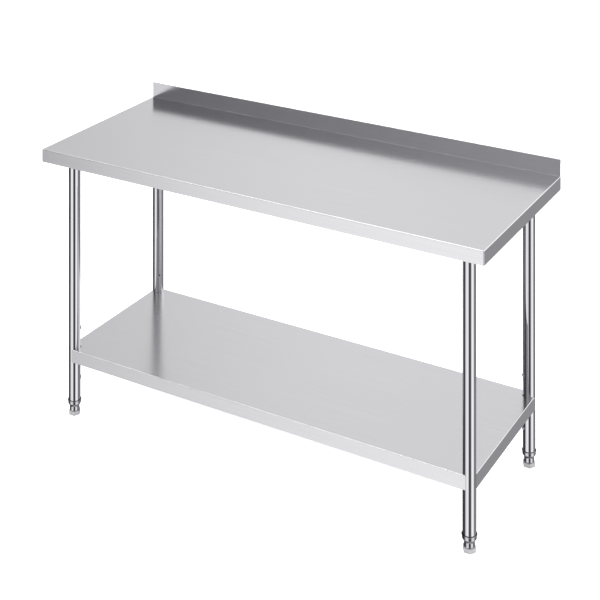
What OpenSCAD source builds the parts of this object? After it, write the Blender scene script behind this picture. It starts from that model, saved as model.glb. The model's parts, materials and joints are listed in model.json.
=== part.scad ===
// Stainless steel work table: folded worktop with a rear upstand, four round tube legs with
// adjustable feet, and a shelf hung between the legs. Millimetres, +Z up. The origin is on the
// floor at the middle of the table, +X points to the right end and +Y to the wall side.

/* [Worktop] */
// Length of the worktop, left to right
top_length = 1524; // [1200:1:1830]
// Depth of the worktop, front to back
top_depth = 608; // [560:1:760]
// Height of the working surface above the floor
top_height = 863; // [830:1:900]
// Height of the upstand above the working surface
upstand_height = 53; // [30:1:120]
// Height of the worktop's aprons
top_apron = 40.5; // [34:0.5:45]
// Thickness of the worktop's sheet
top_sheet = 1.2; // [0.8:0.1:1.5]
// Inner radius of the worktop's folds
top_fold = 1; // [0.8:0.1:1.5]
// Radius of the ground vertical corners at the front
top_corner = 3; // [2.8:0.1:4]

/* [Channels under the sheets] */
// Width of a channel's web
web_width = 60; // [50:1:66]
// Depth of the channels under the worktop
channel_depth = 22; // [18:1:25]
// Depth of the channel under the shelf
shelf_channel_depth = 20; // [15:1:25]
// Width of a channel's welding flanges
flange_width = 20; // [15:1:22]
// Thickness of the channels' sheet
channel_sheet = 1.2; // [1:0.1:1.5]

/* [Legs] */
// Outer diameter of a leg tube
leg_diameter = 38; // [36:1:39]
// Wall of a leg tube
leg_wall = 1.2; // [1:0.1:1.5]
// Distance from the worktop's edges to a leg's axis
leg_inset = 74; // [70:1:80]
// Height of a leg's lower end above the floor
leg_bottom = 38; // [37:1:39]
// Depth of a leg socket's collar
socket_depth = 35; // [28:1:36]
// Wall of a leg socket's collar
socket_wall = 3; // [2.5:0.5:4]

/* [Shelf] */
// Height of the shelf's top face above the floor
shelf_height = 212.5; // [205:0.5:240]
// Height of the shelf's aprons
shelf_apron = 40; // [38:0.5:44]
// Thickness of the shelf's sheet
shelf_sheet = 1; // [0.8:0.1:1.2]
// How far the shelf's faces stand outside the legs' axes
shelf_lip = 19; // [18:0.5:19]
// Height between a leg's shelf positions
level_pitch = 80; // [70:1:90]
// Thickness of a shelf bracket's plate
bracket_plate = 2; // [1.5:0.5:2.5]

/* [Feet] */
// Height of a foot's hexagonal base
base_height = 13; // [12:0.5:14]
// Radius of the base over its corners
base_radius = 19.4; // [18:0.1:20]
// Outer radius of the cup's lower part
cup_low_radius = 15.4; // [14:0.1:16]
// Outer radius of the cup's wide part, around the leg's end
cup_high_radius = 20.7; // [20.7:0.1:21.5]
// Thickness of the cup's sheet
cup_sheet = 1.2; // [1:0.1:1.2]
// Outer radius of the foot's thread
thread_radius = 5.9; // [5:0.1:6]
// How far a foot screws out
foot_travel = 25; // [10:1:25]

/* [Hidden] */
$fn = 64;
far = 2000;
gap = 0.3;

// Corners of the table: the signs of X and Y
fl = [-1, -1];
fr = [1, -1];
rl = [-1, 1];
rr = [1, 1];
corners = [fl, fr, rl, rr];

// Worktop
top_bottom = top_height - top_apron;
top_fold_outer = top_fold + top_sheet;
hem_gap = 0.6;
top_hem = 12;
upstand_front = top_depth / 2 - 2 * top_sheet - hem_gap;
upstand_fold = 0.4;
upstand_top = top_height + upstand_height;
hem_clear = 8;

// Channels
channel_top = top_height - top_sheet;
channel_bottom = channel_top - channel_depth;
channel_width = web_width + 2 * (channel_sheet + flange_width);
end_channel_length = top_depth - 40;

// Legs and their sockets
leg_radius = leg_diameter / 2;
leg_x = top_length / 2 - leg_inset;
leg_y = top_depth / 2 - leg_inset;
socket_bore = leg_radius + 0.2;
socket_plate = 3;
socket_plate_side = 56;
socket_bottom = channel_bottom - socket_plate - socket_depth;
leg_top = channel_bottom - socket_plate - gap;
grub_radius = 4;
grub_length = 10;
grub_height = socket_bottom + 18;
grub_key = 2.3;

// Threaded inserts, along a leg's inward direction
insert_bore = 2.5;
insert_shank = 4.5;
insert_flange = 5.4;
insert_face = leg_radius + 2;
insert_inner = 8;
collar_radius = 6.2;
collar_start = 13;
collar_length = 3;
screw_height = shelf_height - 18;
levels = [screw_height - level_pitch, screw_height, screw_height + level_pitch];

// Shelf
shelf_half_x = leg_x + shelf_lip;
shelf_half_y = leg_y + shelf_lip;
shelf_bottom = shelf_height - shelf_apron;
shelf_fold_outer = 1 + shelf_sheet;
shelf_hem = 10;
shelf_hem_clear = 98;
notch_radius = leg_radius + gap;
groove_half = insert_flange + gap;
groove_reach = insert_face + gap;
shelf_underside = shelf_height - shelf_sheet;
bracket_top = shelf_underside - 1.2;
bracket_bottom = shelf_bottom + 3;
bracket_flange = 22;
slot_radius = 3.3;

// Shelf screws, along a leg's inward direction
washer_start = groove_reach + bracket_plate + gap;
washer_plate = 1.2;
washer_radius = 6.5;
head_start = washer_start + washer_plate;
head_height = 4;
head_radius = 5.77;
screw_radius = 3;
screw_tip = 10;

// Feet
cup_bottom = base_height + 0.2;
cup_shoulder = 27.5;
cup_wide = 36.5;
cup_top = 46;
bead_radius = 1.2;
collar_nut_start = cup_bottom + cup_sheet + 0.2;
collar_nut_height = 4;
collar_nut_radius = 9;
spindle_start = 4;
spindle_top = leg_bottom + 23 + foot_travel;
plug_flange = 1.4;
plug_length = 24;
plug_bore = thread_radius + 0.05;

// Puts its children at a leg, turned so that +X points diagonally to the table's middle
module inward(corner) {
    translate([corner[0] * leg_x, corner[1] * leg_y, 0])
        rotate([0, 0, atan2(-corner[1], -corner[0])]) children();
}

// Lays a cylinder along +X, from x to x + length
module along(x, length, radius, sides = 64) {
    translate([x, 0, 0]) rotate([0, 90, 0]) cylinder(h = length, r = radius, $fn = sides);
}

// Quarter of a ring, the section of a folded sheet
module fold(inner, sheet) {
    intersection() {
        difference() {
            circle(inner + sheet);
            circle(inner);
        }
        square(inner + sheet);
    }
}

// A flat-topped outline whose two upper corners are round
module round_top(half, low, high, radius) {
    translate([-half, low]) square([2 * half, high - radius - low]);
    translate([radius - half, low]) square([2 * (half - radius), high - low]);
    for (side = [-1, 1])
        translate([side * (half - radius), high - radius]) circle(radius);
}

// Section of a hat channel, its web at the bottom and its flanges at the top
module hat_section(web, depth, sheet) {
    outer = 1 + sheet;
    translate([outer - web / 2, 0]) square([web - 2 * outer, sheet]);
    for (side = [0, 1]) mirror([side, 0]) {
        translate([web / 2 - outer, outer]) mirror([0, 1]) fold(1, sheet);
        translate([web / 2 - sheet, outer]) square([sheet, depth - 2 * outer]);
        translate([web / 2 + 1, depth - outer]) mirror([1, 0]) fold(1, sheet);
        translate([web / 2 + 1, depth - sheet]) square([flange_width - 1, sheet]);
    }
}

// A sheet's closed hem along a straight edge: drawn along +X, the apron's inner face is y = 0
module hem(length, sheet, height) {
    translate([-length / 2, -0.2, 0]) cube([length, sheet + hem_gap + 0.2, sheet]);
    translate([-length / 2, hem_gap, 0]) cube([length, sheet, height]);
}

// Outside of the worktop's tray, or its inside when inset by the sheet
module tray(inset, low, rear) {
    intersection() {
        rotate([90, 0, 0]) linear_extrude(far, center = true)
            round_top(top_length / 2 - inset, low, top_height - inset, top_fold_outer - inset);
        rotate([90, 0, 90]) linear_extrude(far, center = true) translate([far / 4, 0])
            round_top(far / 4 + top_depth / 2 - inset, low, top_height - inset,
                top_fold_outer - inset);
        linear_extrude(far) rotate(180)
            round_top(top_length / 2 - inset, -rear, top_depth / 2 - inset, top_corner - inset);
    }
}

// Section of the upstand: the fold out of the worktop, the wall and its hem, drawn in Y and Z
module upstand_section() {
    hem_outer = top_sheet + hem_gap / 2;
    wall_low = top_height + upstand_fold;
    wall_high = upstand_top - hem_outer;
    translate([upstand_front - upstand_fold, wall_low]) mirror([0, 1])
        fold(upstand_fold, top_sheet);
    translate([upstand_front, wall_low]) square([top_sheet, wall_high - wall_low]);
    translate([upstand_front + hem_outer, wall_high]) {
        fold(hem_gap / 2, top_sheet);
        mirror([1, 0]) fold(hem_gap / 2, top_sheet);
    }
    translate([upstand_front + top_sheet + hem_gap, wall_high - top_hem])
        square([top_sheet, top_hem]);
}

module worktop() {
    side_hem = top_depth - hem_clear - 4;
    color("lightgray") {
        difference() {
            tray(0, top_bottom, top_depth / 2);
            tray(top_sheet, top_bottom - 10, far / 4);
            // The upstand's fold takes the place of the flat sheet along the rear
            translate([-top_length / 2 + top_fold_outer, upstand_front - upstand_fold,
                    top_height - top_sheet - 1])
                cube([top_length - 2 * top_fold_outer, 20, top_sheet + 2]);
        }
        rotate([90, 0, 90]) linear_extrude(top_length, center = true) upstand_section();
        translate([0, top_sheet - top_depth / 2, top_bottom])
            hem(top_length - 2 * hem_clear, top_sheet, top_hem);
        for (side = [-1, 1])
            translate([side * (top_length / 2 - top_sheet), 2, top_bottom])
                rotate([0, 0, side * 90]) hem(side_hem, top_sheet, top_hem);
    }
}

module end_channel(side) {
    color("silver") translate([side * leg_x, 0, channel_bottom]) rotate([90, 0, 0])
        linear_extrude(end_channel_length, center = true)
            hat_section(web_width, channel_depth, channel_sheet);
}

module long_channel() {
    length = 2 * leg_x - channel_width - 4;
    color("silver") translate([0, 0, channel_bottom]) rotate([90, 0, 90])
        linear_extrude(length, center = true)
            hat_section(web_width, channel_depth, channel_sheet);
}

module leg_socket(corner) {
    color("dimgray") difference() {
        union() {
            translate([corner[0] * leg_x, corner[1] * leg_y, channel_bottom - socket_plate / 2])
                cube([socket_plate_side, socket_plate_side, socket_plate], center = true);
            inward(corner) translate([0, 0, socket_bottom])
                cylinder(h = socket_depth + 1, r = socket_bore + socket_wall);
        }
        inward(corner) {
            translate([0, 0, socket_bottom - 1]) cylinder(h = socket_depth + 1, r = socket_bore);
            translate([0, 0, grub_height]) along(leg_radius, 10, grub_radius);
        }
    }
}

module socket_screws() {
    color("black") for (corner = corners)
        inward(corner) translate([0, 0, grub_height]) difference() {
            along(leg_radius + 0.02, grub_length, grub_radius);
            along(leg_radius + grub_length - 4, 5, grub_key, 6);
        }
}

module leg(corner) {
    color("gainsboro") difference() {
        inward(corner) translate([0, 0, leg_bottom])
            cylinder(h = leg_top - leg_bottom, r = leg_radius);
        inward(corner) translate([0, 0, leg_bottom - 1])
            cylinder(h = leg_top - leg_bottom + 2, r = leg_radius - leg_wall);
        for (level = levels)
            inward(corner) translate([0, 0, level]) along(5, 20, insert_shank);
    }
}

// One threaded insert: a flange on the tube, a shank through its wall and a collar behind it
module insert() {
    difference() {
        union() {
            along(leg_radius, insert_face - leg_radius, insert_flange);
            along(insert_inner, insert_face - insert_inner - 1, insert_shank);
            along(collar_start, collar_length, collar_radius);
        }
        along(insert_inner - 1, insert_face - insert_inner + 2, insert_bore);
    }
}

module leg_inserts() {
    color("silver") for (corner = corners, level = levels)
        inward(corner) translate([0, 0, level]) insert();
}

module foot_plug(corner) {
    color("darkgray") inward(corner) difference() {
        union() {
            translate([0, 0, leg_bottom - plug_flange])
                cylinder(h = plug_flange, r = leg_radius - 0.4);
            translate([0, 0, leg_bottom - plug_flange])
                cylinder(h = plug_length, r = leg_radius - leg_wall - 0.02);
        }
        translate([0, 0, leg_bottom - plug_flange - 1])
            cylinder(h = plug_length + 2, r = plug_bore);
    }
}

// The cup's half section: floor, lower wall, taper, wide wall and rolled rim
module cup_section() {
    low = cup_low_radius - cup_sheet;
    high = cup_high_radius - cup_sheet;
    translate([thread_radius + gap, cup_bottom])
        square([low + 0.5 - thread_radius - gap, cup_sheet]);
    translate([low, cup_bottom]) square([cup_sheet, cup_shoulder - cup_bottom]);
    polygon([
        [low, cup_shoulder], [cup_low_radius, cup_shoulder],
        [cup_high_radius, cup_wide], [high, cup_wide]
    ]);
    translate([high, cup_wide]) square([cup_sheet, cup_top - cup_wide]);
    translate([cup_high_radius - 0.1, cup_top]) circle(bead_radius);
}

module foot_cup(corner) {
    color("gainsboro") inward(corner) rotate_extrude() cup_section();
}

module foot_spindle(corner) {
    color("darkgray") inward(corner) {
        translate([0, 0, spindle_start])
            cylinder(h = spindle_top - spindle_start, r = thread_radius);
        translate([0, 0, collar_nut_start])
            cylinder(h = collar_nut_height, r = collar_nut_radius);
    }
}

module foot_base(corner) {
    color("whitesmoke") translate([corner[0] * leg_x, corner[1] * leg_y, 0]) difference() {
        cylinder(h = base_height, r = base_radius, $fn = 6);
        translate([0, 0, spindle_start])
            cylinder(h = base_height, r = thread_radius);
    }
}

// What is cut away around a leg, drawn with +X and +Y pointing to the table's middle
module notch_outline() {
    circle(notch_radius);
    translate([-2 * notch_radius, -2 * notch_radius]) square(2 * notch_radius);
    rotate(45) translate([0, -groove_half]) square([groove_reach, 2 * groove_half]);
}

module shelf_block(inset, low) {
    intersection() {
        rotate([90, 0, 0]) linear_extrude(far, center = true)
            round_top(shelf_half_x - inset, low, shelf_height - inset, shelf_fold_outer - inset);
        rotate([90, 0, 90]) linear_extrude(far, center = true)
            round_top(shelf_half_y - inset, low, shelf_height - inset, shelf_fold_outer - inset);
    }
}

module undershelf() {
    color("lightgray") {
        difference() {
            shelf_block(0, shelf_bottom);
            shelf_block(shelf_sheet, shelf_bottom - 10);
            for (corner = corners)
                inward(corner) rotate([0, 0, -45]) translate([0, 0, shelf_bottom - 1])
                    linear_extrude(shelf_apron + 2) notch_outline();
        }
        for (turn = [0, 180]) {
            rotate([0, 0, turn]) translate([0, shelf_sheet - shelf_half_y, shelf_bottom])
                hem(2 * (shelf_half_x - shelf_hem_clear), shelf_sheet, shelf_hem);
            rotate([0, 0, turn + 90]) translate([0, shelf_sheet - shelf_half_x, shelf_bottom])
                hem(2 * (shelf_half_y - shelf_hem_clear), shelf_sheet, shelf_hem);
        }
    }
}

// A bracket's plan, drawn with +X and +Y pointing to the table's middle: a plate across the
// corner and a welding flange on each apron
module bracket_outline() {
    face = shelf_sheet - shelf_lip;
    near = groove_reach * sqrt(2) - face;
    back = face + bracket_plate;
    bend = (groove_reach + bracket_plate) * sqrt(2) - back;
    tip = near + bracket_flange;
    polygon([
        [near, face], [tip, face], [tip, back], [bend, back],
        [back, bend], [back, tip], [face, tip], [face, near]
    ]);
}

module shelf_bracket(corner) {
    slot_reach = groove_reach - 3;
    color("silver") difference() {
        inward(corner) rotate([0, 0, -45]) translate([0, 0, bracket_bottom])
            linear_extrude(bracket_top - bracket_bottom) bracket_outline();
        inward(corner) {
            translate([0, 0, screw_height]) along(slot_reach, 10, slot_radius);
            translate([slot_reach, -slot_radius, bracket_bottom - 1])
                cube([10, 2 * slot_radius, screw_height - bracket_bottom + 1]);
        }
    }
}

module shelf_channel() {
    length = 2 * (leg_x - 60);
    color("silver") translate([0, 0, shelf_underside - shelf_channel_depth]) rotate([90, 0, 90])
        linear_extrude(length, center = true)
            hat_section(web_width - 10, shelf_channel_depth, channel_sheet);
}

module shelf_screws() {
    color("silver") for (corner = corners)
        inward(corner) translate([0, 0, screw_height]) {
            along(screw_tip, insert_face - screw_tip, insert_bore - 0.02);
            along(insert_face, head_start - insert_face, screw_radius);
            along(head_start, head_height, head_radius, 6);
        }
}

module shelf_washers() {
    color("gainsboro") for (corner = corners)
        inward(corner) translate([0, 0, screw_height]) difference() {
            along(washer_start, washer_plate, washer_radius);
            along(washer_start - 1, washer_plate + 2, screw_radius + 0.2);
        }
}

worktop();
end_channel(-1);  // end_channel_left
end_channel(1);  // end_channel_right
long_channel();
leg_socket(fl);  // leg_socket_fl
leg_socket(fr);  // leg_socket_fr
leg_socket(rl);  // leg_socket_rl
leg_socket(rr);  // leg_socket_rr
socket_screws();
leg(fl);  // leg_fl
leg(fr);  // leg_fr
leg(rl);  // leg_rl
leg(rr);  // leg_rr
leg_inserts();
foot_plug(fl);  // foot_plug_fl
foot_plug(fr);  // foot_plug_fr
foot_plug(rl);  // foot_plug_rl
foot_plug(rr);  // foot_plug_rr
foot_cup(fl);  // foot_cup_fl
foot_cup(fr);  // foot_cup_fr
foot_cup(rl);  // foot_cup_rl
foot_cup(rr);  // foot_cup_rr
foot_spindle(fl);  // foot_spindle_fl
foot_spindle(fr);  // foot_spindle_fr
foot_spindle(rl);  // foot_spindle_rl
foot_spindle(rr);  // foot_spindle_rr
foot_base(fl);  // foot_base_fl
foot_base(fr);  // foot_base_fr
foot_base(rl);  // foot_base_rl
foot_base(rr);  // foot_base_rr
undershelf();
shelf_bracket(fl);  // shelf_bracket_fl
shelf_bracket(fr);  // shelf_bracket_fr
shelf_bracket(rl);  // shelf_bracket_rl
shelf_bracket(rr);  // shelf_bracket_rr
shelf_channel();
shelf_screws();
shelf_washers();
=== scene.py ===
"""Looks of a stainless work table: folded brushed sheet, polished tube legs and screw feet.

Everything is in metres and in the CAD frame: the origin is on the floor under the table's
middle, +X points to the right end, +Y to the upstand and +Z up.
"""

import json
import math

import bmesh
import bpy
from mathutils import Matrix, Vector


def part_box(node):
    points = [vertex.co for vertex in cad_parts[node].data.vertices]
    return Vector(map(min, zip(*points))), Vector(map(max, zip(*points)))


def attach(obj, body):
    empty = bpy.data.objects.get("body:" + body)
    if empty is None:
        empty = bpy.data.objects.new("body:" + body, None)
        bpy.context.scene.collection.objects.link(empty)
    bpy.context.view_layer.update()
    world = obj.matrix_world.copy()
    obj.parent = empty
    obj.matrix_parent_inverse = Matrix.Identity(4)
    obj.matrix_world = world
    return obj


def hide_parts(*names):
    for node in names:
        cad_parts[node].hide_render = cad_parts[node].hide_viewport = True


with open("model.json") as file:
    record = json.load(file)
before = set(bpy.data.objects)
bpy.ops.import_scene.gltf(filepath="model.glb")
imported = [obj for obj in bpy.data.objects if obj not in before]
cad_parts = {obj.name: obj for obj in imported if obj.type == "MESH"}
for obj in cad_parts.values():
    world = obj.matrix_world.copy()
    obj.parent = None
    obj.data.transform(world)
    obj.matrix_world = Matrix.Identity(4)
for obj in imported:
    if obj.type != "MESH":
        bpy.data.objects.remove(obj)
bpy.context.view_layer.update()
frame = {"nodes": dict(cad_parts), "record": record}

MM = 0.001
NODES = frame["nodes"]
MOUNTS = {mount["name"]: mount["pos_m"] for mount in frame["record"]["mounts"]}
CORNERS = {"fl": (-1, -1), "fr": (1, -1), "rl": (-1, 1), "rr": (1, 1)}

# ---------------------------------------------------------------- sizes, from the CAD frame

top_low, top_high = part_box("worktop")
TOP_X = top_high.x
TOP_Y = top_high.y
TOP_Z = MOUNTS["work_surface"][2]
UPSTAND_Z = top_high.z
TOP_APRON = TOP_Z - top_low.z
TOP_SHEET = 1.2 * MM
TOP_CORNER = 3 * MM
TOP_HEM = 12 * MM

shelf_low, shelf_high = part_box("undershelf")
SHELF_X = shelf_high.x
SHELF_Y = shelf_high.y
SHELF_Z = shelf_high.z
SHELF_APRON = shelf_high.z - shelf_low.z
SHELF_SHEET = 1 * MM
SHELF_HEM = 10 * MM
SHELF_HEM_CLEAR = 98 * MM

leg_low, leg_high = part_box("leg_rr")
LEG_X = (leg_low.x + leg_high.x) / 2
LEG_Y = (leg_low.y + leg_high.y) / 2
LEG_R = (leg_high.x - leg_low.x) / 2
LEG_WALL = 1.2 * MM
LEG_LOW = leg_low.z
LEG_TOP = leg_high.z

FOLD = 1 * MM
HEM_GAP = 0.6 * MM
UPSTAND_FOLD = 0.1 * MM
NOTCH_R = LEG_R + 0.3 * MM
INSERT_LOW = MOUNTS["insert_lower_rr"][2]
INSERT_HIGH = MOUNTS["insert_upper_rr"][2]
INSERT_LEVELS = [INSERT_LOW, (INSERT_LOW + INSERT_HIGH) / 2, INSERT_HIGH]
INSERT_BORE = 2.5 * MM
INSERT_SHANK = 4.5 * MM
INSERT_FLANGE = 5.4 * MM
INSERT_FACE = LEG_R + 2 * MM
INSERT_INNER = 8 * MM
SCREW_LEVELS = [INSERT_LEVELS[1]]
# How far out of a leg's axis a shelf screw's washer and head stand
WASHER_START = 23.6 * MM
HEAD_START = 24.8 * MM
HEAD_END = 28.8 * MM
GROOVE_HALF = INSERT_FLANGE + 0.3 * MM
GROOVE_REACH = INSERT_FACE + 0.3 * MM
THREAD_PITCH = 1.75 * MM
THREAD_R = 5.9 * MM


def leg_axis(corner):
    """Where a leg's axis stands on the floor."""
    sx, sy = CORNERS[corner]
    return Vector((sx * LEG_X, sy * LEG_Y, 0))


def to_middle(corner):
    """The level direction from a leg diagonally to the table's middle."""
    sx, sy = CORNERS[corner]
    return Vector((-sx, -sy, 0)).normalized()


# ---------------------------------------------------------------- materials


def colour(code):
    """A linear colour with alpha, from an sRGB hex value."""
    parts = [int(code[i : i + 2], 16) / 255 for i in (1, 3, 5)]
    linear = [c / 12.92 if c <= 0.04045 else ((c + 0.055) / 1.055) ** 2.4 for c in parts]
    return (*linear, 1.0)


def add(tree, kind, settings=None, **inputs):
    """A node of this kind. An input takes a value or another node's socket."""
    made = tree.nodes.new(kind)
    for name, value in (settings or {}).items():
        setattr(made, name, value)
    for name, value in inputs.items():
        socket = made.inputs[int(name[1:]) if name[1:].isdigit() else name.replace("_", " ")]
        if isinstance(value, bpy.types.NodeSocket):
            tree.links.new(value, socket)
        else:
            socket.default_value = value
    return made


def surface(name, **settings):
    """An empty material with a Principled surface, its tree and that surface."""
    material = bpy.data.materials.new(name)
    material.use_nodes = True
    tree = material.node_tree
    tree.nodes.clear()
    shader = add(tree, "ShaderNodeBsdfPrincipled", **settings)
    add(tree, "ShaderNodeOutputMaterial", Surface=shader.outputs[0])
    return material, tree, shader


def span(tree, factor, low, high):
    """The factor, from 0 to 1, spread from low to high."""
    return add(
        tree, "ShaderNodeMapRange", Value=factor, To_Min=low, To_Max=high
    ).outputs[0]


def tone(tree, factor, dark, light):
    """The factor, from 0 to 1, as a blend of two sRGB colours."""
    return add(
        tree,
        "ShaderNodeMix",
        {"data_type": "RGBA"},
        _0=factor,
        _6=colour(dark),
        _7=colour(light),
    ).outputs[2]


def pattern(tree, source, size, detail=2.0, roughness=0.5):
    """Noise whose blotches measure size, three lengths in metres along the source's axes."""
    scaled = add(
        tree, "ShaderNodeMapping", Vector=source, Scale=[1 / length for length in size]
    )
    return add(
        tree,
        "ShaderNodeTexNoise",
        Vector=scaled.outputs[0],
        Scale=1.0,
        Detail=detail,
        Roughness=roughness,
    ).outputs[0]


def relief(tree, height, depth, strength=1.0, under=None):
    """A bump of this depth in metres, over another bump if one is given."""
    inputs = {"Height": height, "Distance": depth, "Strength": strength}
    if under is not None:
        inputs["Normal"] = under
    return add(tree, "ShaderNodeBump", **inputs).outputs[0]


def brushed_stainless():
    """Stainless sheet, belt-brushed along its length before it was folded.

    To the eye: a soft grey mirror, blurred most across the brush lines, with faint long
    streaks where the belt bit deeper and barely wavy where the sheet gives.
    """
    material, tree, shader = surface(
        "brushed_stainless_sheet", Metallic=1.0, Anisotropic=0.35
    )
    flat = add(tree, "ShaderNodeUVMap", {"uv_map": "unfolded"}).outputs[0]
    # Brush lines, 0.4 mm apart and about 40 mm long
    lines = pattern(tree, flat, (40 * MM, 0.4 * MM, 1), detail=3)
    # Belt streaks, 6 mm apart and half a metre long
    streaks = pattern(tree, flat, (500 * MM, 6 * MM, 1), detail=2)
    # Handling marks: cloudy patches a hand wide
    clouds = pattern(tree, flat, (120 * MM, 90 * MM, 1), detail=3)
    mixed = add(
        tree, "ShaderNodeMath", {"operation": "MULTIPLY_ADD"}, _0=streaks, _1=0.6, _2=lines
    ).outputs[0]
    tree.links.new(tone(tree, mixed, "#cacacc", "#d8d8da"), shader.inputs["Base Color"])
    rough = add(
        tree, "ShaderNodeMath", {"operation": "MULTIPLY_ADD"}, _0=clouds, _1=0.35, _2=mixed
    ).outputs[0]
    tree.links.new(span(tree, rough, 0.15, 0.2), shader.inputs["Roughness"])
    # The sheet's slack, 0.15 mm deep over a forearm's length
    slack = relief(tree, pattern(tree, flat, (450 * MM, 350 * MM, 1)), 0.15 * MM)
    tree.links.new(relief(tree, lines, 0.01 * MM, 0.4, slack), shader.inputs["Normal"])
    return material


def polished_stainless(name, draw_length, shades, blur):
    """Stainless tube and pressings, buffed bright after forming.

    To the eye: a near mirror with crisp stripes of the room, softened a little by fine
    buffing rings.
    """
    material, tree, shader = surface(name, Metallic=1.0)
    place = add(tree, "ShaderNodeTexCoord").outputs["Object"]
    # Buffing rings, 0.3 mm apart, run round the tube
    rings = pattern(tree, place, (30 * MM, 30 * MM, 0.3 * MM), detail=2)
    # Slow change along the tube from the drawing bench
    draw = pattern(tree, place, (20 * MM, 20 * MM, draw_length), detail=2)
    tree.links.new(tone(tree, draw, *shades), shader.inputs["Base Color"])
    tree.links.new(span(tree, rings, *blur), shader.inputs["Roughness"])
    tree.links.new(relief(tree, rings, 0.002 * MM, 0.3), shader.inputs["Normal"])
    return material


def galvanised_steel():
    """Hot-dip galvanised sheet.

    To the eye: dull silver with the frosty patchwork of zinc crystals, 9 mm across.
    """
    material, tree, shader = surface("galvanised_steel_sheet", Metallic=1.0)
    place = add(tree, "ShaderNodeTexCoord").outputs["Object"]
    bent = add(tree, "ShaderNodeTexNoise", Vector=place, Scale=1 / (12 * MM), Detail=2.0)
    shifted = add(
        tree,
        "ShaderNodeVectorMath",
        {"operation": "MULTIPLY_ADD"},
        _0=bent.outputs["Color"],
        _1=(4 * MM, 4 * MM, 4 * MM),
        _2=place,
    ).outputs[0]
    spangle = add(tree, "ShaderNodeTexVoronoi", Vector=shifted, Scale=1 / (9 * MM))
    grey = add(tree, "ShaderNodeSeparateColor", Color=spangle.outputs["Color"]).outputs[0]
    tree.links.new(tone(tree, grey, "#a9aeb1", "#c3c7c9"), shader.inputs["Base Color"])
    tree.links.new(span(tree, grey, 0.32, 0.5), shader.inputs["Roughness"])
    frost = pattern(tree, place, (0.8 * MM, 0.8 * MM, 0.8 * MM), detail=3)
    tree.links.new(relief(tree, frost, 0.02 * MM, 0.5), shader.inputs["Normal"])
    return material


def zinc_plated_steel():
    """Turned steel with a bright, blue-passivated zinc plate.

    To the eye: cool silver with faint turning rings and a slightly milky gloss.
    """
    material, tree, shader = surface("zinc_plated_steel", Metallic=1.0)
    place = add(tree, "ShaderNodeTexCoord").outputs["Object"]
    milk = pattern(tree, place, (5 * MM, 5 * MM, 5 * MM), detail=3)
    grain = pattern(tree, place, (0.5 * MM, 0.5 * MM, 0.5 * MM), detail=2)
    tree.links.new(tone(tree, milk, "#b4b9c0", "#c9ccd0"), shader.inputs["Base Color"])
    tree.links.new(span(tree, milk, 0.2, 0.32), shader.inputs["Roughness"])
    tree.links.new(relief(tree, grain, 0.01 * MM, 0.4), shader.inputs["Normal"])
    return material


def cast_alloy():
    """Die-cast zinc alloy, tumbled clean.

    To the eye: mid grey with a fine pebbled skin and soft highlights.
    """
    material, tree, shader = surface("die_cast_zinc_alloy", Metallic=1.0)
    place = add(tree, "ShaderNodeTexCoord").outputs["Object"]
    pebbles = pattern(tree, place, (0.7 * MM, 0.7 * MM, 0.7 * MM), detail=3)
    flow = pattern(tree, place, (15 * MM, 15 * MM, 9 * MM), detail=3)
    tree.links.new(tone(tree, flow, "#86888b", "#9c9ea1"), shader.inputs["Base Color"])
    tree.links.new(span(tree, pebbles, 0.4, 0.55), shader.inputs["Roughness"])
    tree.links.new(relief(tree, pebbles, 0.05 * MM, 0.6), shader.inputs["Normal"])
    return material


def blackened_steel():
    """Hardened steel, blackened in hot oxide.

    To the eye: near black with a soft oily gloss, browner where the film is thin.
    """
    material, tree, shader = surface("black_oxide_steel", Metallic=1.0)
    place = add(tree, "ShaderNodeTexCoord").outputs["Object"]
    film = pattern(tree, place, (2 * MM, 2 * MM, 2 * MM), detail=3)
    tree.links.new(tone(tree, film, "#1d1d1f", "#34312f"), shader.inputs["Base Color"])
    tree.links.new(span(tree, film, 0.3, 0.45), shader.inputs["Roughness"])
    tree.links.new(relief(tree, film, 0.01 * MM, 0.4), shader.inputs["Normal"])
    return material


def moulded_nylon():
    """Injection-moulded nylon, left in its natural pale grey.

    To the eye: waxy and slightly translucent, with a fine satin skin, patchily darker over
    its lowest 5 mm by the floor.
    """
    material, tree, shader = surface(
        "moulded_nylon",
        Subsurface_Weight=0.15,
        Subsurface_Radius=(1.0, 1.0, 1.0),
        Subsurface_Scale=1.5 * MM,
        IOR=1.53,
    )
    place = add(tree, "ShaderNodeTexCoord").outputs["Object"]
    skin = pattern(tree, place, (0.4 * MM, 0.4 * MM, 0.4 * MM), detail=2)
    shade = pattern(tree, place, (8 * MM, 8 * MM, 5 * MM), detail=3)
    height = add(tree, "ShaderNodeSeparateXYZ", Vector=place).outputs[2]
    # Patchily darker over the lowest 5 mm, next to the floor
    near_floor_darkening = add(
        tree,
        "ShaderNodeMapRange",
        Value=height,
        From_Min=0.0,
        From_Max=5 * MM,
        To_Min=0.55,
        To_Max=0.0,
    ).outputs[0]
    darker_low = add(
        tree, "ShaderNodeMath", {"operation": "MULTIPLY_ADD"}, _0=near_floor_darkening, _1=shade, _2=0.0
    ).outputs[0]
    tree.links.new(tone(tree, darker_low, "#b9babb", "#8f9091"), shader.inputs["Base Color"])
    tree.links.new(span(tree, shade, 0.38, 0.5), shader.inputs["Roughness"])
    tree.links.new(relief(tree, skin, 0.02 * MM, 0.5), shader.inputs["Normal"])
    return material


SHEET = brushed_stainless()
TUBE = polished_stainless(
    "polished_stainless_tube", 90 * MM, ("#cdcdcf", "#d4d4d6"), (0.02, 0.045)
)
CUP = polished_stainless(
    "polished_stainless_pressing", 12 * MM, ("#b9b9bc", "#c4c4c7"), (0.05, 0.09)
)
GALVANISED = galvanised_steel()
ZINC = zinc_plated_steel()
ALLOY = cast_alloy()
BLACK = blackened_steel()
NYLON = moulded_nylon()

# ---------------------------------------------------------------- mesh making

WELD = 0.002 * MM
SHARP = math.radians(35)


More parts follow.
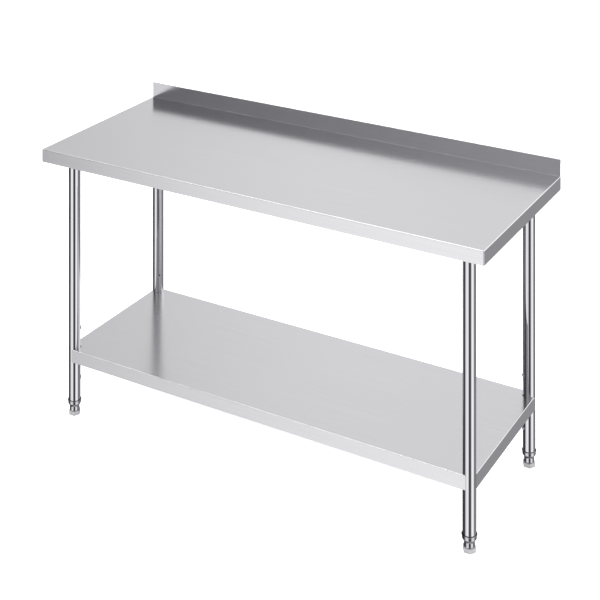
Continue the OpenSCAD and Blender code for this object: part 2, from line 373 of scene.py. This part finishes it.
class Shape:
    """Corners and faces as they are added, with each corner's place on the unfolded sheet."""

    def __init__(self):
        self.corners = []
        self.unfolded = []
        self.faces = []

    def corner(self, point, unfolded=(0.0, 0.0)):
        self.corners.append(tuple(point))
        self.unfolded.append(tuple(unfolded))
        return len(self.corners) - 1

    def face(self, *corners):
        self.faces.append(corners)

    def strip(self, first, second, closed=False):
        """Quads between two rows of as many corners."""
        count = len(first)
        for i in range(count if closed else count - 1):
            j = (i + 1) % count
            self.face(first[i], first[j], second[j], second[i])


def finished(piece):
    """The piece with its modifiers built into a plain mesh."""
    shown = piece.evaluated_get(bpy.context.evaluated_depsgraph_get())
    mesh = bpy.data.meshes.new_from_object(shown)
    piece.modifiers.clear()
    piece.data = mesh
    mesh.name = piece.name
    return piece


def plain(name, shape):
    """An object of the shape, smooth but for its sharp edges, with its faces outward."""
    mesh = bpy.data.meshes.new(name)
    mesh.from_pydata(shape.corners, [], shape.faces)
    layer = mesh.uv_layers.new(name="unfolded")
    for loop in mesh.loops:
        layer.data[loop.index].uv = shape.unfolded[loop.vertex_index]
    work = bmesh.new()
    work.from_mesh(mesh)
    bmesh.ops.remove_doubles(work, verts=work.verts, dist=WELD)
    bmesh.ops.recalc_face_normals(work, faces=work.faces)
    for edge in work.edges:
        edge.smooth = len(edge.link_faces) == 2 and edge.calc_face_angle() < SHARP
    for face in work.faces:
        face.smooth = True
    work.to_mesh(mesh)
    work.free()
    piece = bpy.data.objects.new(name, mesh)
    bpy.context.scene.collection.objects.link(piece)
    return piece


def settle(piece, body, stands_for):
    """Builds the piece's modifiers in, and lets it ride on the body for its CAD nodes."""
    weighted = piece.modifiers.new("weighted", "WEIGHTED_NORMAL")
    weighted.keep_sharp = True
    weighted.weight = 100
    finished(piece)
    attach(piece, body)
    if stands_for:
        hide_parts(*stands_for)


def make(name, shape, material, body, stands_for):
    """A finished piece of the shape, in one material."""
    piece = plain(name, shape)
    piece.data.materials.append(material)
    settle(piece, body, stands_for)


def arc(centre, radius, start, end, steps):
    """Points of an arc between two angles in degrees."""
    turns = [math.radians(start + (end - start) * i / steps) for i in range(steps + 1)]
    return [
        (centre[0] + radius * math.cos(turn), centre[1] + radius * math.sin(turn))
        for turn in turns
    ]


def eased(points, steps=5):
    """A closed outline of (across, up, radius) points, each corner rounded to its radius."""
    outline = []
    for index, (across, up, radius) in enumerate(points):
        here = Vector((across, up))
        before = (Vector(points[index - 1][:2]) - here).normalized()
        after = (Vector(points[(index + 1) % len(points)][:2]) - here).normalized()
        if radius == 0:
            outline.append((across, up))
            continue
        half = before.angle(after) / 2
        middle = here + (before + after).normalized() * radius / math.sin(half)
        reach = radius / math.tan(half)
        first = here + before * reach - middle
        last = here + after * reach - middle
        start = math.degrees(math.atan2(first.y, first.x))
        swing = (math.degrees(math.atan2(last.y, last.x)) - start + 180) % 360 - 180
        outline += arc(middle, radius, start, start + swing, steps)
    return outline


def lathe(shape, outline, axis, sides=96, solid=False):
    """Turns (radius, height) points round a vertical axis: a closed ring, or a capped solid."""
    turns = [2 * math.pi * i / sides for i in range(sides)]
    rows = [
        [
            shape.corner(axis + Vector((radius * math.cos(t), radius * math.sin(t), height)))
            for t in turns
        ]
        for radius, height in outline
    ]
    for row, after in zip(rows, rows[1:]):
        shape.strip(row, after, closed=True)
    if solid:
        shape.face(*rows[0])
        shape.face(*rows[-1])
    else:
        shape.strip(rows[-1], rows[0], closed=True)


def bar(shape, section, start, end, across):
    """A closed bar from start to end, its section given as (across, up) points."""
    along = (end - start).normalized()
    ends = []
    for place in (start, end):
        ends.append(
            [
                shape.corner(
                    place + across * offset + Vector((0, 0, up)),
                    (place.dot(along), place.dot(across) + offset + up),
                )
                for offset, up in section
            ]
        )
    shape.strip(ends[0], ends[1], closed=True)
    shape.face(*ends[0])
    shape.face(*ends[1])


# ---------------------------------------------------------------- folded sheets

FOLD_STEPS = 6
HEM_STEPS = 12


def apron_section(drop, sheet):
    """An apron's section, from the flat's edge round the fold, down, and back up inside.

    Each point is its inset from the outer face, its depth below the flat's top and its
    distance from the flat's edge along the sheet.
    """
    outer = FOLD + sheet
    edge = 0.5 * MM
    quarter = [math.pi / 2 * i / FOLD_STEPS for i in range(FOLD_STEPS + 1)]
    length = outer * math.pi / 2 + drop - outer
    points = [
        (outer - outer * math.sin(a), outer - outer * math.cos(a), outer * a) for a in quarter
    ]
    points += [
        (edge - edge * math.cos(a), drop - edge + edge * math.sin(a), length)
        for a in quarter[::2]
    ]
    points.append((sheet, drop, length))
    points += [
        (outer - FOLD * math.sin(a), outer - FOLD * math.cos(a), outer * a)
        for a in reversed(quarter)
    ]
    return points


def hem_section(drop, sheet, height):
    """The turned-back hem inside an apron, as (inset, height below the flat) points."""
    near = sheet + HEM_GAP
    lap = 0.1 * MM
    return [
        (sheet - lap, -drop),
        (near + sheet, -drop),
        (near + sheet, height - drop),
        (near, height - drop),
        (near, sheet - drop),
        (sheet - lap, sheet - drop),
    ]


def fold_row(shape, section, level, place, inward):
    """One row of corners across an apron. place(inset) is the plan point at that inset."""
    outer = section[0][0]
    row = []
    for inset, depth, length in section:
        point = place(inset)
        edge = place(outer)
        row.append(
            shape.corner(
                (point.x, point.y, level - depth),
                (edge.x - inward.x * length, edge.y - inward.y * length),
            )
        )
    return row


def top_tray(shape, fold_line):
    """The worktop's flat, its three aprons and its rounded front corners."""
    section = apron_section(TOP_APRON, TOP_SHEET)
    corner_steps = 8
    stations = [
        (Vector((-TOP_X, TOP_Y)), Vector((1, 0))),
        (Vector((-TOP_X, fold_line)), Vector((1, 0))),
    ]
    for side, start in ((-1, 180), (1, 270)):
        centre = Vector((side * (TOP_X - TOP_CORNER), TOP_CORNER - TOP_Y))
        for step in range(corner_steps + 1):
            turn = math.radians(start + 90 * step / corner_steps)
            out = Vector((math.cos(turn), math.sin(turn)))
            stations.append((centre + out * TOP_CORNER, -out))
    stations += [
        (Vector((TOP_X, fold_line)), Vector((-1, 0))),
        (Vector((TOP_X, TOP_Y)), Vector((-1, 0))),
    ]
    rows = [
        fold_row(shape, section, TOP_Z, lambda inset, p=p, n=n: p + n * inset, n)
        for p, n in stations
    ]
    for row, after in zip(rows, rows[1:]):
        shape.strip(row, after)
    shape.face(*rows[0])
    shape.face(*rows[-1])
    shape.face(*[row[0] for row in rows[1:-1]])
    shape.face(*[row[-1] for row in rows[1:-1]])
    shape.face(rows[1][0], rows[-2][0], rows[-2][-1], rows[1][-1])
    for near, far in ((0, 1), (-1, -2)):
        shape.face(rows[near][0], rows[far][0], rows[far][-1], rows[near][-1])


def upstand(shape, front, fold_line):
    """The rear upstand, from its fold up to the hem turned back behind it."""
    hem_outer = TOP_SHEET + HEM_GAP / 2
    wall_low = TOP_Z + UPSTAND_FOLD
    wall_high = UPSTAND_Z - hem_outer
    hem_middle = (front + hem_outer, wall_high)
    outline = arc((fold_line, wall_low), UPSTAND_FOLD, -90, 0, FOLD_STEPS)
    outline += arc(hem_middle, hem_outer, 180, 0, HEM_STEPS)
    outline += [
        (TOP_Y, wall_high - TOP_HEM),
        (TOP_Y - TOP_SHEET, wall_high - TOP_HEM),
    ]
    outline += arc(hem_middle, HEM_GAP / 2, 0, 180, HEM_STEPS // 2)
    outline += arc((fold_line, wall_low), UPSTAND_FOLD + TOP_SHEET, 0, -90, FOLD_STEPS)
    bar(shape, outline, Vector((-TOP_X, 0, 0)), Vector((TOP_X, 0, 0)), Vector((0, 1, 0)))


def top_hems(shape):
    """The hems turned back inside the worktop's three aprons, clear of the corners."""
    hem = hem_section(TOP_APRON, TOP_SHEET, TOP_HEM)
    clear = 8 * MM
    bar(
        shape,
        hem,
        Vector((clear - TOP_X, -TOP_Y, TOP_Z)),
        Vector((TOP_X - clear, -TOP_Y, TOP_Z)),
        Vector((0, 1, 0)),
    )
    for side in (-1, 1):
        bar(
            shape,
            hem,
            Vector((side * TOP_X, clear - TOP_Y, TOP_Z)),
            Vector((side * TOP_X, TOP_Y - clear / 2, TOP_Z)),
            Vector((-side, 0, 0)),
        )


def worktop():
    """One folded sheet: a tray with a rear upstand, hemmed all round."""
    shape = Shape()
    upstand_front = TOP_Y - 2 * TOP_SHEET - HEM_GAP
    fold_line = upstand_front - UPSTAND_FOLD
    top_tray(shape, fold_line)
    upstand(shape, upstand_front, fold_line)
    top_hems(shape)
    make("worktop_sheet", shape, SHEET, "frame", ["worktop"])


def notch(corner):
    """The shelf's edge round a leg, from the long apron's fold to the short apron's."""
    sx, sy = CORNERS[corner]
    fold_edge = SHELF_X - LEG_X - FOLD - SHELF_SHEET
    reach = math.sqrt(NOTCH_R**2 - fold_edge**2)
    start = math.degrees(math.atan2(-fold_edge, reach))
    groove = math.degrees(math.asin(GROOVE_HALF / NOTCH_R))
    side = GROOVE_HALF / math.sqrt(2)
    tip = GROOVE_REACH / math.sqrt(2)
    steps = 16
    points = arc((0, 0), NOTCH_R, start, 45 - groove, steps)
    points += [(tip + side, tip - side), (tip - side, tip + side)]
    points += arc((0, 0), NOTCH_R, 45 + groove, 90 - start, steps)
    return [Vector((sx * (LEG_X - a), sy * (LEG_Y - b))) for a, b in points]


def shelf_aprons(shape):
    """The shelf's four aprons, each cut round the legs at its ends."""
    section = apron_section(SHELF_APRON, SHELF_SHEET)
    lip = SHELF_X - LEG_X

    def cut(inset):
        """How far from a leg's axis an apron ends, at this inset from its face."""
        return math.sqrt(NOTCH_R**2 - (lip - inset) ** 2)

    def long_apron(side, end):
        return lambda inset: Vector(
            (end * (LEG_X - cut(inset)), side * (SHELF_Y - inset))
        )

    def short_apron(side, end):
        return lambda inset: Vector(
            (side * (SHELF_X - inset), end * (LEG_Y - cut(inset)))
        )

    for side in (-1, 1):
        for apron, inward in (
            (long_apron, Vector((0, -side))),
            (short_apron, Vector((-side, 0))),
        ):
            rows = [
                fold_row(shape, section, SHELF_Z, apron(side, end), inward)
                for end in (-1, 1)
            ]
            shape.strip(rows[0], rows[1])
            shape.face(*rows[0])
            shape.face(*rows[1])


def shelf_flat(shape):
    """The shelf's flat, notched round the legs."""
    edge = notch("fr") + notch("rr")[::-1] + notch("rl") + notch("fl")[::-1]
    over = [shape.corner((p.x, p.y, SHELF_Z), p) for p in edge]
    under = [shape.corner((p.x, p.y, SHELF_Z - SHELF_SHEET), p) for p in edge]
    shape.face(*over)
    shape.face(*under)
    per_notch = len(edge) // 4
    for i in range(len(edge)):
        if (i + 1) % per_notch:
            shape.face(over[i], over[i + 1], under[i + 1], under[i])


def shelf_hems(shape):
    """The hems turned back inside the shelf's aprons, between the corner brackets."""
    hem = hem_section(SHELF_APRON, SHELF_SHEET, SHELF_HEM)
    end_x = SHELF_X - SHELF_HEM_CLEAR
    end_y = SHELF_Y - SHELF_HEM_CLEAR
    for side in (-1, 1):
        bar(
            shape,
            hem,
            Vector((-end_x, side * SHELF_Y, SHELF_Z)),
            Vector((end_x, side * SHELF_Y, SHELF_Z)),
            Vector((0, -side, 0)),
        )
        bar(
            shape,
            hem,
            Vector((side * SHELF_X, -end_y, SHELF_Z)),
            Vector((side * SHELF_X, end_y, SHELF_Z)),
            Vector((-side, 0, 0)),
        )


def undershelf():
    """One folded sheet with an apron on each side."""
    shape = Shape()
    shelf_aprons(shape)
    shelf_flat(shape)
    shelf_hems(shape)
    make("undershelf_sheet", shape, SHEET, "shelf", ["undershelf"])


# ---------------------------------------------------------------- legs and feet


def leg(corner):
    """A tube with lightly rounded ends and a hole for each threaded insert."""
    burr = 0.3 * MM
    inner = LEG_R - LEG_WALL
    outline = eased(
        [
            (inner, LEG_LOW, burr),
            (LEG_R, LEG_LOW, burr),
            (LEG_R, LEG_TOP, burr),
            (inner, LEG_TOP, burr),
        ],
        steps=3,
    )
    axis = leg_axis(corner)
    shape = Shape()
    lathe(shape, outline, axis, sides=128)
    tube = plain("tube_" + corner, shape)
    tube.data.materials.append(TUBE)
    drills = Shape()
    way = to_middle(corner)
    for height in INSERT_LEVELS:
        bore = [(INSERT_SHANK, LEG_R / 2), (INSERT_SHANK, LEG_R + LEG_WALL)]
        first = len(drills.corners)
        lathe(drills, bore, Vector(), sides=32, solid=True)
        turn = Vector((0, 0, 1)).rotation_difference(way).to_matrix()
        for index in range(first, len(drills.corners)):
            place = turn @ Vector(drills.corners[index]) + axis
            drills.corners[index] = tuple(place + Vector((0, 0, height)))
    cutter = plain("drills", drills)
    holes = tube.modifiers.new("holes", "BOOLEAN")
    holes.object = cutter
    settle(tube, "frame", ["leg_" + corner])
    bpy.data.objects.remove(cutter)


def foot_cup(corner):
    """A drawn cup: flat floor, straight sleeve, flared shoulder and a lip turned outward."""
    low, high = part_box("foot_cup_" + corner)
    wall = 1.2 * MM
    lip = 1.2 * MM
    inner_rise = 0.4 * MM
    sleeve = 15.4 * MM
    wide = 20.7 * MM
    hole = 6.2 * MM
    floor = low.z
    shoulder = 27.5 * MM
    brim = 36.5 * MM
    rim = high.z - lip
    outline = eased(
        [
            (hole, floor, 0),
            (sleeve, floor, 1.4 * MM),
            (sleeve, shoulder, 6 * MM),
            (wide, brim, 2.5 * MM),
            (wide, rim - 2 * lip, 0),
            (wide + lip, rim - lip, lip),
            (wide + lip, rim + lip, 0.3 * lip),
            (wide + 0.4 * lip, rim + lip, 0),
            (wide - wall, rim - 3 * lip, lip),
            (wide - wall, brim + inner_rise, 2 * MM),
            (sleeve - wall, shoulder + inner_rise, 2 * MM),
            (sleeve - wall, floor + wall, 0.8 * MM),
            (hole, floor + wall, 0),
        ]
    )
    shape = Shape()
    lathe(shape, outline, leg_axis(corner))
    name = "foot_cup_" + corner
    make("cup_" + corner, shape, CUP, "foot_shell_" + corner, [name])


def foot_base(corner):
    """A hexagonal moulding with its edges just broken and a bore for the spindle."""
    low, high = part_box("foot_base_" + corner)
    across = (high.x - low.x) / 2
    tall = high.z
    ease = 0.3 * MM
    bore = 6 * MM
    bore_end = tall - 9 * MM
    levels = [
        (across - ease, 0.0),
        (across, ease),
        (across, tall - ease),
        (across - ease, tall),
        (bore, tall),
        (bore, bore_end),
    ]
    axis = leg_axis(corner)
    shape = Shape()
    rows = []
    round_off = 0.25 * MM
    for radius, height in levels:
        row = []
        middle = radius - round_off / math.cos(math.radians(30))
        for side in range(6):
            turn = 60 * side
            out = Vector((math.cos(math.radians(turn)), math.sin(math.radians(turn)), 0))
            for x, y in arc(middle * out, round_off, turn - 30, turn + 30, 4):
                row.append(shape.corner((axis.x + x, axis.y + y, height)))
        rows.append(row)
    for row, after in zip(rows, rows[1:]):
        shape.strip(row, after, closed=True)
    shape.face(*rows[0])
    shape.face(*rows[-1])
    name = "foot_base_" + corner
    body = "foot_stem_" + corner
    make("base_" + corner, shape, NYLON, body, [name])


# ---------------------------------------------------------------- fasteners and threads


def tree_for(name, inputs):
    """An empty geometry tree with these (name, socket kind) inputs, and their sockets."""
    tree = bpy.data.node_groups.new(name, "GeometryNodeTree")
    for label, kind in inputs:
        tree.interface.new_socket(label, in_out="INPUT", socket_type=kind)
    tree.interface.new_socket("Geometry", in_out="OUTPUT", socket_type="NodeSocketGeometry")
    return tree, tree.nodes.new("NodeGroupInput").outputs


def finish_tree(tree, geometry, material):
    """Ends a tree in real geometry with its material."""
    real = add(tree, "GeometryNodeRealizeInstances", Geometry=geometry).outputs[0]
    coated = add(tree, "GeometryNodeSetMaterial", Geometry=real, Material=material)
    add(tree, "NodeGroupOutput", Geometry=coated.outputs[0])


def run_tree(piece, tree, **values):
    """Puts the tree on the piece, with its inputs set by name."""
    nodes = piece.modifiers.new(tree.name, "NODES")
    nodes.node_group = tree
    for item in tree.interface.items_tree:
        label = item.name.replace(" ", "_")
        if item.in_out == "INPUT" and label in values:
            nodes[item.identifier] = values[label]


def copies_tree():
    """Copies of one fastener on every point, each turned level to the point's bearing."""
    tree, given = tree_for(
        "fastener_copies",
        [
            ("Geometry", "NodeSocketGeometry"),
            ("Fastener", "NodeSocketObject"),
            ("Finish", "NodeSocketMaterial"),
        ],
    )
    fastener = add(tree, "GeometryNodeObjectInfo", Object=given["Fastener"])
    bearing = add(
        tree, "GeometryNodeInputNamedAttribute", {"data_type": "FLOAT"}, Name="bearing"
    )
    turned = add(tree, "ShaderNodeCombineXYZ", Z=bearing.outputs[0]).outputs[0]
    copies = add(
        tree,
        "GeometryNodeInstanceOnPoints",
        Points=given["Geometry"],
        Instance=fastener.outputs["Geometry"],
        Rotation=turned,
    ).outputs[0]
    finish_tree(tree, copies, given["Finish"])
    return tree


def thread_tree():
    """A threaded rod along +Z: a core with one V-shaped ridge wound round it."""
    tree, given = tree_for(
        "threaded_rod",
        [
            ("Radius", "NodeSocketFloat"),
            ("Pitch", "NodeSocketFloat"),
            ("Length", "NodeSocketFloat"),
            ("Finish", "NodeSocketMaterial"),
        ],
    )
    half = add(
        tree, "ShaderNodeMath", {"operation": "MULTIPLY"}, _0=given["Pitch"], _1=0.5
    ).outputs[0]
    root = add(
        tree, "ShaderNodeMath", {"operation": "SUBTRACT"}, _0=given["Radius"], _1=half
    ).outputs[0]
    turns = add(
        tree, "ShaderNodeMath", {"operation": "DIVIDE"}, _0=given["Length"], _1=given["Pitch"]
    ).outputs[0]
    helix = add(
        tree,
        "GeometryNodeCurveSpiral",
        Resolution=24,
        Rotations=turns,
        Start_Radius=root,
        End_Radius=root,
        Height=given["Length"],
    ).outputs[0]
    upright = add(
        tree, "GeometryNodeSetCurveNormal", {"mode": "Z_UP"}, Curve=helix
    ).outputs[0]
    ridge = add(tree, "GeometryNodeCurvePrimitiveCircle", Resolution=4, Radius=half)
    wound = add(
        tree,
        "GeometryNodeCurveToMesh",
        Curve=upright,
        Profile_Curve=ridge.outputs[0],
        Fill_Caps=True,
    ).outputs[0]
    core = add(
        tree,
        "GeometryNodeMeshCylinder",
        Vertices=32,
        Radius=root,
        Depth=given["Length"],
    ).outputs[0]
    middle = add(
        tree, "ShaderNodeMath", {"operation": "MULTIPLY"}, _0=given["Length"], _1=0.5
    ).outputs[0]
    lift = add(tree, "ShaderNodeCombineXYZ", Z=middle).outputs[0]
    raised = add(tree, "GeometryNodeTransform", Geometry=core, Translation=lift).outputs[0]
    both = add(tree, "GeometryNodeJoinGeometry", Geometry=wound)
    tree.links.new(raised, both.inputs[0])
    finish_tree(tree, both.outputs[0], given["Finish"])
    return tree


COPIES = copies_tree()
THREAD = thread_tree()


def lying(shape):
    """Turns what was drawn along +Z so that it lies along +X."""
    shape.corners = [(z, y, -x) for x, y, z in shape.corners]
    return shape


def fasteners(name, shape, heights, material, stands_for):
    """One piece of copies of a fastener, drawn along +X, at these heights on every leg."""
    master = plain(name + "_master", shape)
    places = []
    bearings = []
    for corner in CORNERS:
        way = to_middle(corner)
        for height in heights:
            places.append(leg_axis(corner) + Vector((0, 0, height)))
            bearings.append(math.atan2(way.y, way.x))
    mesh = bpy.data.meshes.new(name)
    mesh.from_pydata(places, [], [])
    mesh.attributes.new("bearing", "FLOAT", "POINT").data.foreach_set("value", bearings)
    piece = bpy.data.objects.new(name, mesh)
    bpy.context.scene.collection.objects.link(piece)
    run_tree(piece, COPIES, Fastener=master, Finish=material)
    settle(piece, "frame", stands_for)
    bpy.data.objects.remove(master)


def insert():
    """A threaded insert: chamfered flange, shank through the tube and a pulled collar."""
    chamfer = 0.4 * MM
    collar = 6.2 * MM
    collar_start = 13 * MM
    collar_end = 16 * MM
    slope = 0.6 * MM
    shape = Shape()
    outline = [
        (INSERT_BORE, INSERT_INNER),
        (INSERT_SHANK, INSERT_INNER),
        (INSERT_SHANK, collar_start),
        (collar, collar_start + slope),
        (collar, collar_end - slope),
        (INSERT_SHANK, collar_end),
        (INSERT_SHANK, LEG_R),
        (INSERT_FLANGE, LEG_R),
        (INSERT_FLANGE, INSERT_FACE - chamfer),
        (INSERT_FLANGE - chamfer, INSERT_FACE),
        (INSERT_BORE + chamfer, INSERT_FACE),
        (INSERT_BORE, INSERT_FACE - chamfer),
    ]
    lathe(shape, outline, Vector(), sides=40)
    return lying(shape)


def shelf_screw():
    """A hexagon screw: point, shank and a head with its corners turned off."""
    shape = Shape()
    head = 5.77 * MM
    neck = 3 * MM
    ease = 0.5 * MM
    tip = 10 * MM
    shank = [
        (INSERT_BORE - ease, tip),
        (INSERT_BORE, tip + ease),
        (INSERT_BORE, INSERT_FACE - ease),
        (neck, INSERT_FACE),
        (neck, HEAD_START),
    ]
    lathe(shape, shank, Vector(), sides=32, solid=True)
    blank = [(head, HEAD_START), (head, HEAD_END - ease), (head - ease * 1.6, HEAD_END)]
    lathe(shape, blank, Vector(), sides=6, solid=True)
    return lying(shape)


def washer():
    """A flat washer with its outer edge lightly rolled over."""
    outer = 6.5 * MM
    hole = 3.2 * MM
    roll = 0.3 * MM
    shape = Shape()
    outline = eased(
        [
            (hole, WASHER_START, 0),
            (outer, WASHER_START, roll),
            (outer, HEAD_START, roll),
            (hole, HEAD_START, 0),
        ],
        steps=3,
    )
    lathe(shape, outline, Vector(), sides=40)
    return lying(shape)


def spindle(corner):
    """A threaded rod with the collar nut that the cup sits on."""
    low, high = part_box("foot_spindle_" + corner)
    nut = (high.x - low.x) / 2
    nut_low = 14.6 * MM
    nut_high = 18.6 * MM
    ease = 0.5 * MM
    shape = Shape()
    outline = [
        (nut - ease, nut_low - low.z),
        (nut, nut_low - low.z + ease),
        (nut, nut_high - low.z - ease),
        (nut - ease, nut_high - low.z),
    ]
    lathe(shape, outline, Vector(), sides=48, solid=True)
    rod = bpy.data.objects.new("rod", bpy.data.meshes.new("rod"))
    bpy.context.scene.collection.objects.link(rod)
    run_tree(
        rod,
        THREAD,
        Radius=THREAD_R,
        Pitch=THREAD_PITCH,
        Length=high.z - low.z,
        Finish=ZINC,
    )
    finished(rod)
    collar = plain("spindle_" + corner, shape)
    collar.data.materials.append(ZINC)
    both = bmesh.new()
    both.from_mesh(collar.data)
    both.from_mesh(rod.data)
    bmesh.ops.translate(both, verts=both.verts, vec=leg_axis(corner) + Vector((0, 0, low.z)))
    both.to_mesh(collar.data)
    both.free()
    bpy.data.objects.remove(rod)
    name = "foot_spindle_" + corner
    settle(collar, "foot_stem_" + corner, [name])


worktop()
undershelf()
for corner in CORNERS:
    leg(corner)
    foot_cup(corner)
    foot_base(corner)
    spindle(corner)
fasteners("threaded_inserts", insert(), INSERT_LEVELS, ZINC, ["leg_inserts"])
fasteners("hexagon_screws", shelf_screw(), SCREW_LEVELS, ZINC, ["shelf_screws"])
fasteners("flat_washers", washer(), SCREW_LEVELS, ZINC, ["shelf_washers"])

# ---------------------------------------------------------------- CAD pieces kept as they are

FINISHES = {
    "galvanised_sheet": GALVANISED,
    "cast_alloy": ALLOY,
    "zinc_steel": ZINC,
    "black_steel": BLACK,
    "brushed_sheet": SHEET,
    "polished_tube": TUBE,
    "polished_cup": CUP,
    "nylon": NYLON,
}
for part in frame["record"]["subparts"]:
    mesh = NODES[part["node"]].data
    mesh.materials.clear()
    mesh.materials.append(FINISHES[part["material_slot"]])

# ---------------------------------------------------------------- studio

# Every level is kept as a part of this one, because a ramp's colours end at 1
BRIGHTEST = 8.0
# Cards and softboxes round the table, in rings: bearing from +X in degrees, then brightness.
# The two lower rings share their right-hand part.
RIGHT_PANELS = [
    (-85, 1.0),
    (-78, 0.48),
    (-70, 0.1),
    (-60, 0.03),
    (-49, 0.04),
    (-43, 0.28),
    (-34, 0.8),
    (-24, 1.3),
    (-8, 1.4),
    (8, 1.1),
    (18, 0.42),
    (30, 0.2),
    (46, 0.22),
    (56, 0.38),
    (76, 0.38),
    (110, 0.3),
    (150, 0.26),
    (168, 0.05),
]
# Well below the horizon, where the legs and the aprons look
LOW_PANELS = [
    (-180, 0.04),
    (-166, 0.03),
    (-152, 0.06),
    (-142, 0.3),
    (-133, 0.73),
    (-125, 0.98),
    (-116, 1.22),
    (-94, 1.34),
    *RIGHT_PANELS,
]
# A little higher the left card reaches further round, which shades the worktop's left end
MIDDLE_PANELS = [
    (-180, 0.04),
    (-152, 0.05),
    (-142, 0.1),
    (-135, 0.2),
    (-130, 0.63),
    (-125, 1.12),
    (-116, 1.35),
    (-94, 1.38),
    *RIGHT_PANELS,
]
# From eye level up: a bright wall behind the table and a dim room before it
HIGH_PANELS = [
    (-180, 0.5),
    (-150, 0.08),
    (-127, 0.12),
    (-119, 0.32),
    (-108, 0.58),
    (-95, 0.6),
    (-50, 0.3),
    (-20, 0.9),
    (20, 0.9),
    (50, 1.5),
    (92, 1.7),
    (104, 0.95),
    (111, 0.9),
    (118, 0.95),
    (124, 0.87),
    (131, 0.72),
    (160, 0.7),
]
# Overhead: a soft ceiling with one lamp before the table, which lines the long front folds
CEILING_PANELS = [(-180, 1.3), (-165, 5.4), (-125, 5.4), (-105, 1.3)]
ZENITH_PANELS = [(-180, 1.2)]


def studio_world():
    """A white room with dark cards and softboxes, as polished steel likes to be shown.

    The eye sees plain white behind the table, and only reflections see the cards.
    """
    world = bpy.data.worlds.new("studio")
    bpy.context.scene.world = world
    world.use_nodes = True
    tree = world.node_tree
    tree.nodes.clear()
    direction = add(tree, "ShaderNodeTexCoord").outputs["Generated"]
    axes = add(tree, "ShaderNodeSeparateXYZ", Vector=direction).outputs
    bearing = add(
        tree, "ShaderNodeMath", {"operation": "ARCTAN2"}, _0=axes[1], _1=axes[0]
    ).outputs[0]
    around = add(
        tree, "ShaderNodeMapRange", Value=bearing, From_Min=-math.pi, From_Max=math.pi
    ).outputs[0]

    def ring(panels):
        """Colour round the room. The dark cards are faintly violet."""
        ramp = add(tree, "ShaderNodeValToRGB", Fac=around)
        stops = ramp.color_ramp.elements
        while len(stops) > 1:
            stops.remove(stops[0])
        for index, (degrees, level) in enumerate(panels):
            place = (degrees + 180) / 360
            stop = stops[0] if index == 0 else stops.new(place)
            stop.position = place
            tint = (level, level - 0.003, level + 0.012)
            stop.color = (*[part / BRIGHTEST for part in tint], 1)
        return ramp.outputs[0]

    def over(below, above, start, end):
        """One ring that gives way to the next between two elevations in degrees."""
        rise = add(
            tree,
            "ShaderNodeMapRange",
            {"interpolation_type": "SMOOTHSTEP"},
            Value=axes[2],
            From_Min=math.sin(math.radians(start)),
            From_Max=math.sin(math.radians(end)),
        ).outputs[0]
        return add(
            tree, "ShaderNodeMix", {"data_type": "RGBA"}, _0=rise, _6=below, _7=above
        ).outputs[2]

    room = over(ring(LOW_PANELS), ring(MIDDLE_PANELS), -27, -18)
    room = over(room, ring(HIGH_PANELS), -12, 8)
    room = over(room, ring(CEILING_PANELS), 45, 55)
    room = over(room, ring(ZENITH_PANELS), 66, 74)
    seen = add(tree, "ShaderNodeBackground", Color=room, Strength=BRIGHTEST).outputs[0]
    white = add(tree, "ShaderNodeBackground", Color=(1, 1, 1, 1), Strength=1.0).outputs[0]
    eye = add(tree, "ShaderNodeLightPath").outputs["Is Camera Ray"]
    mixed = add(tree, "ShaderNodeMixShader", _0=eye, _1=seen, _2=white).outputs[0]
    add(tree, "ShaderNodeOutputWorld", Surface=mixed)


def floor():
    """A plain pale floor, lit to the same white as the room behind it."""
    material, tree, shader = surface(
        "pale_studio_floor",
        Roughness=0.9,
        Emission_Color=colour("#ffffff"),
        Emission_Strength=0.75,
    )
    place = add(tree, "ShaderNodeTexCoord").outputs["Object"]
    grain = pattern(tree, place, (60 * MM, 60 * MM, 60 * MM), detail=4)
    tree.links.new(tone(tree, grain, "#f2f2f2", "#f6f6f6"), shader.inputs["Base Color"])
    half_width = 20.0
    mesh = bpy.data.meshes.new("floor")
    mesh.from_pydata(
        [
            (-half_width, -half_width, 0),
            (half_width, -half_width, 0),
            (half_width, half_width, 0),
            (-half_width, half_width, 0),
        ],
        [],
        [(0, 1, 2, 3)],
    )
    mesh.materials.append(material)
    plane = bpy.data.objects.new("floor", mesh)
    bpy.context.scene.collection.objects.link(plane)
    plane.visible_glossy = False


def camera():
    """A view camera: the film stays upright, so the legs stay parallel in the picture.

    Its stand leans the film back to the vertical, which keeps the lens shift at none.
    """
    place = Vector((2.17939, -3.75245, 2.45927))
    heading = math.radians(29.9145)
    tilt = math.radians(25.0402)
    right = Vector((math.cos(heading), math.sin(heading), 0))
    look = Vector(
        (
            -math.sin(heading) * math.cos(tilt),
            math.cos(heading) * math.cos(tilt),
            -math.sin(tilt),
        )
    )
    turned = Matrix((right, right.cross(look), -look)).transposed()
    lens = bpy.data.cameras.new("camera")
    lens.sensor_width = 36
    lens.lens = 91.804
    lens.clip_end = 100
    viewer = bpy.data.objects.new("camera", lens)
    stand = bpy.data.objects.new("camera_stand", None)
    for item in (viewer, stand):
        bpy.context.scene.collection.objects.link(item)
    viewer.location = place
    viewer.rotation_euler = turned.to_euler()
    upright = Matrix.Identity(4)
    upright[1][1] = math.cos(tilt)
    upright[2][1] = math.sin(tilt)
    standing = Matrix.Translation(place) @ turned.to_4x4()
    viewer.parent = stand
    viewer.matrix_parent_inverse = standing @ upright @ standing.inverted()
    bpy.context.scene.camera = viewer
    bpy.context.scene.view_settings.view_transform = "Standard"


studio_world()
floor()
camera()
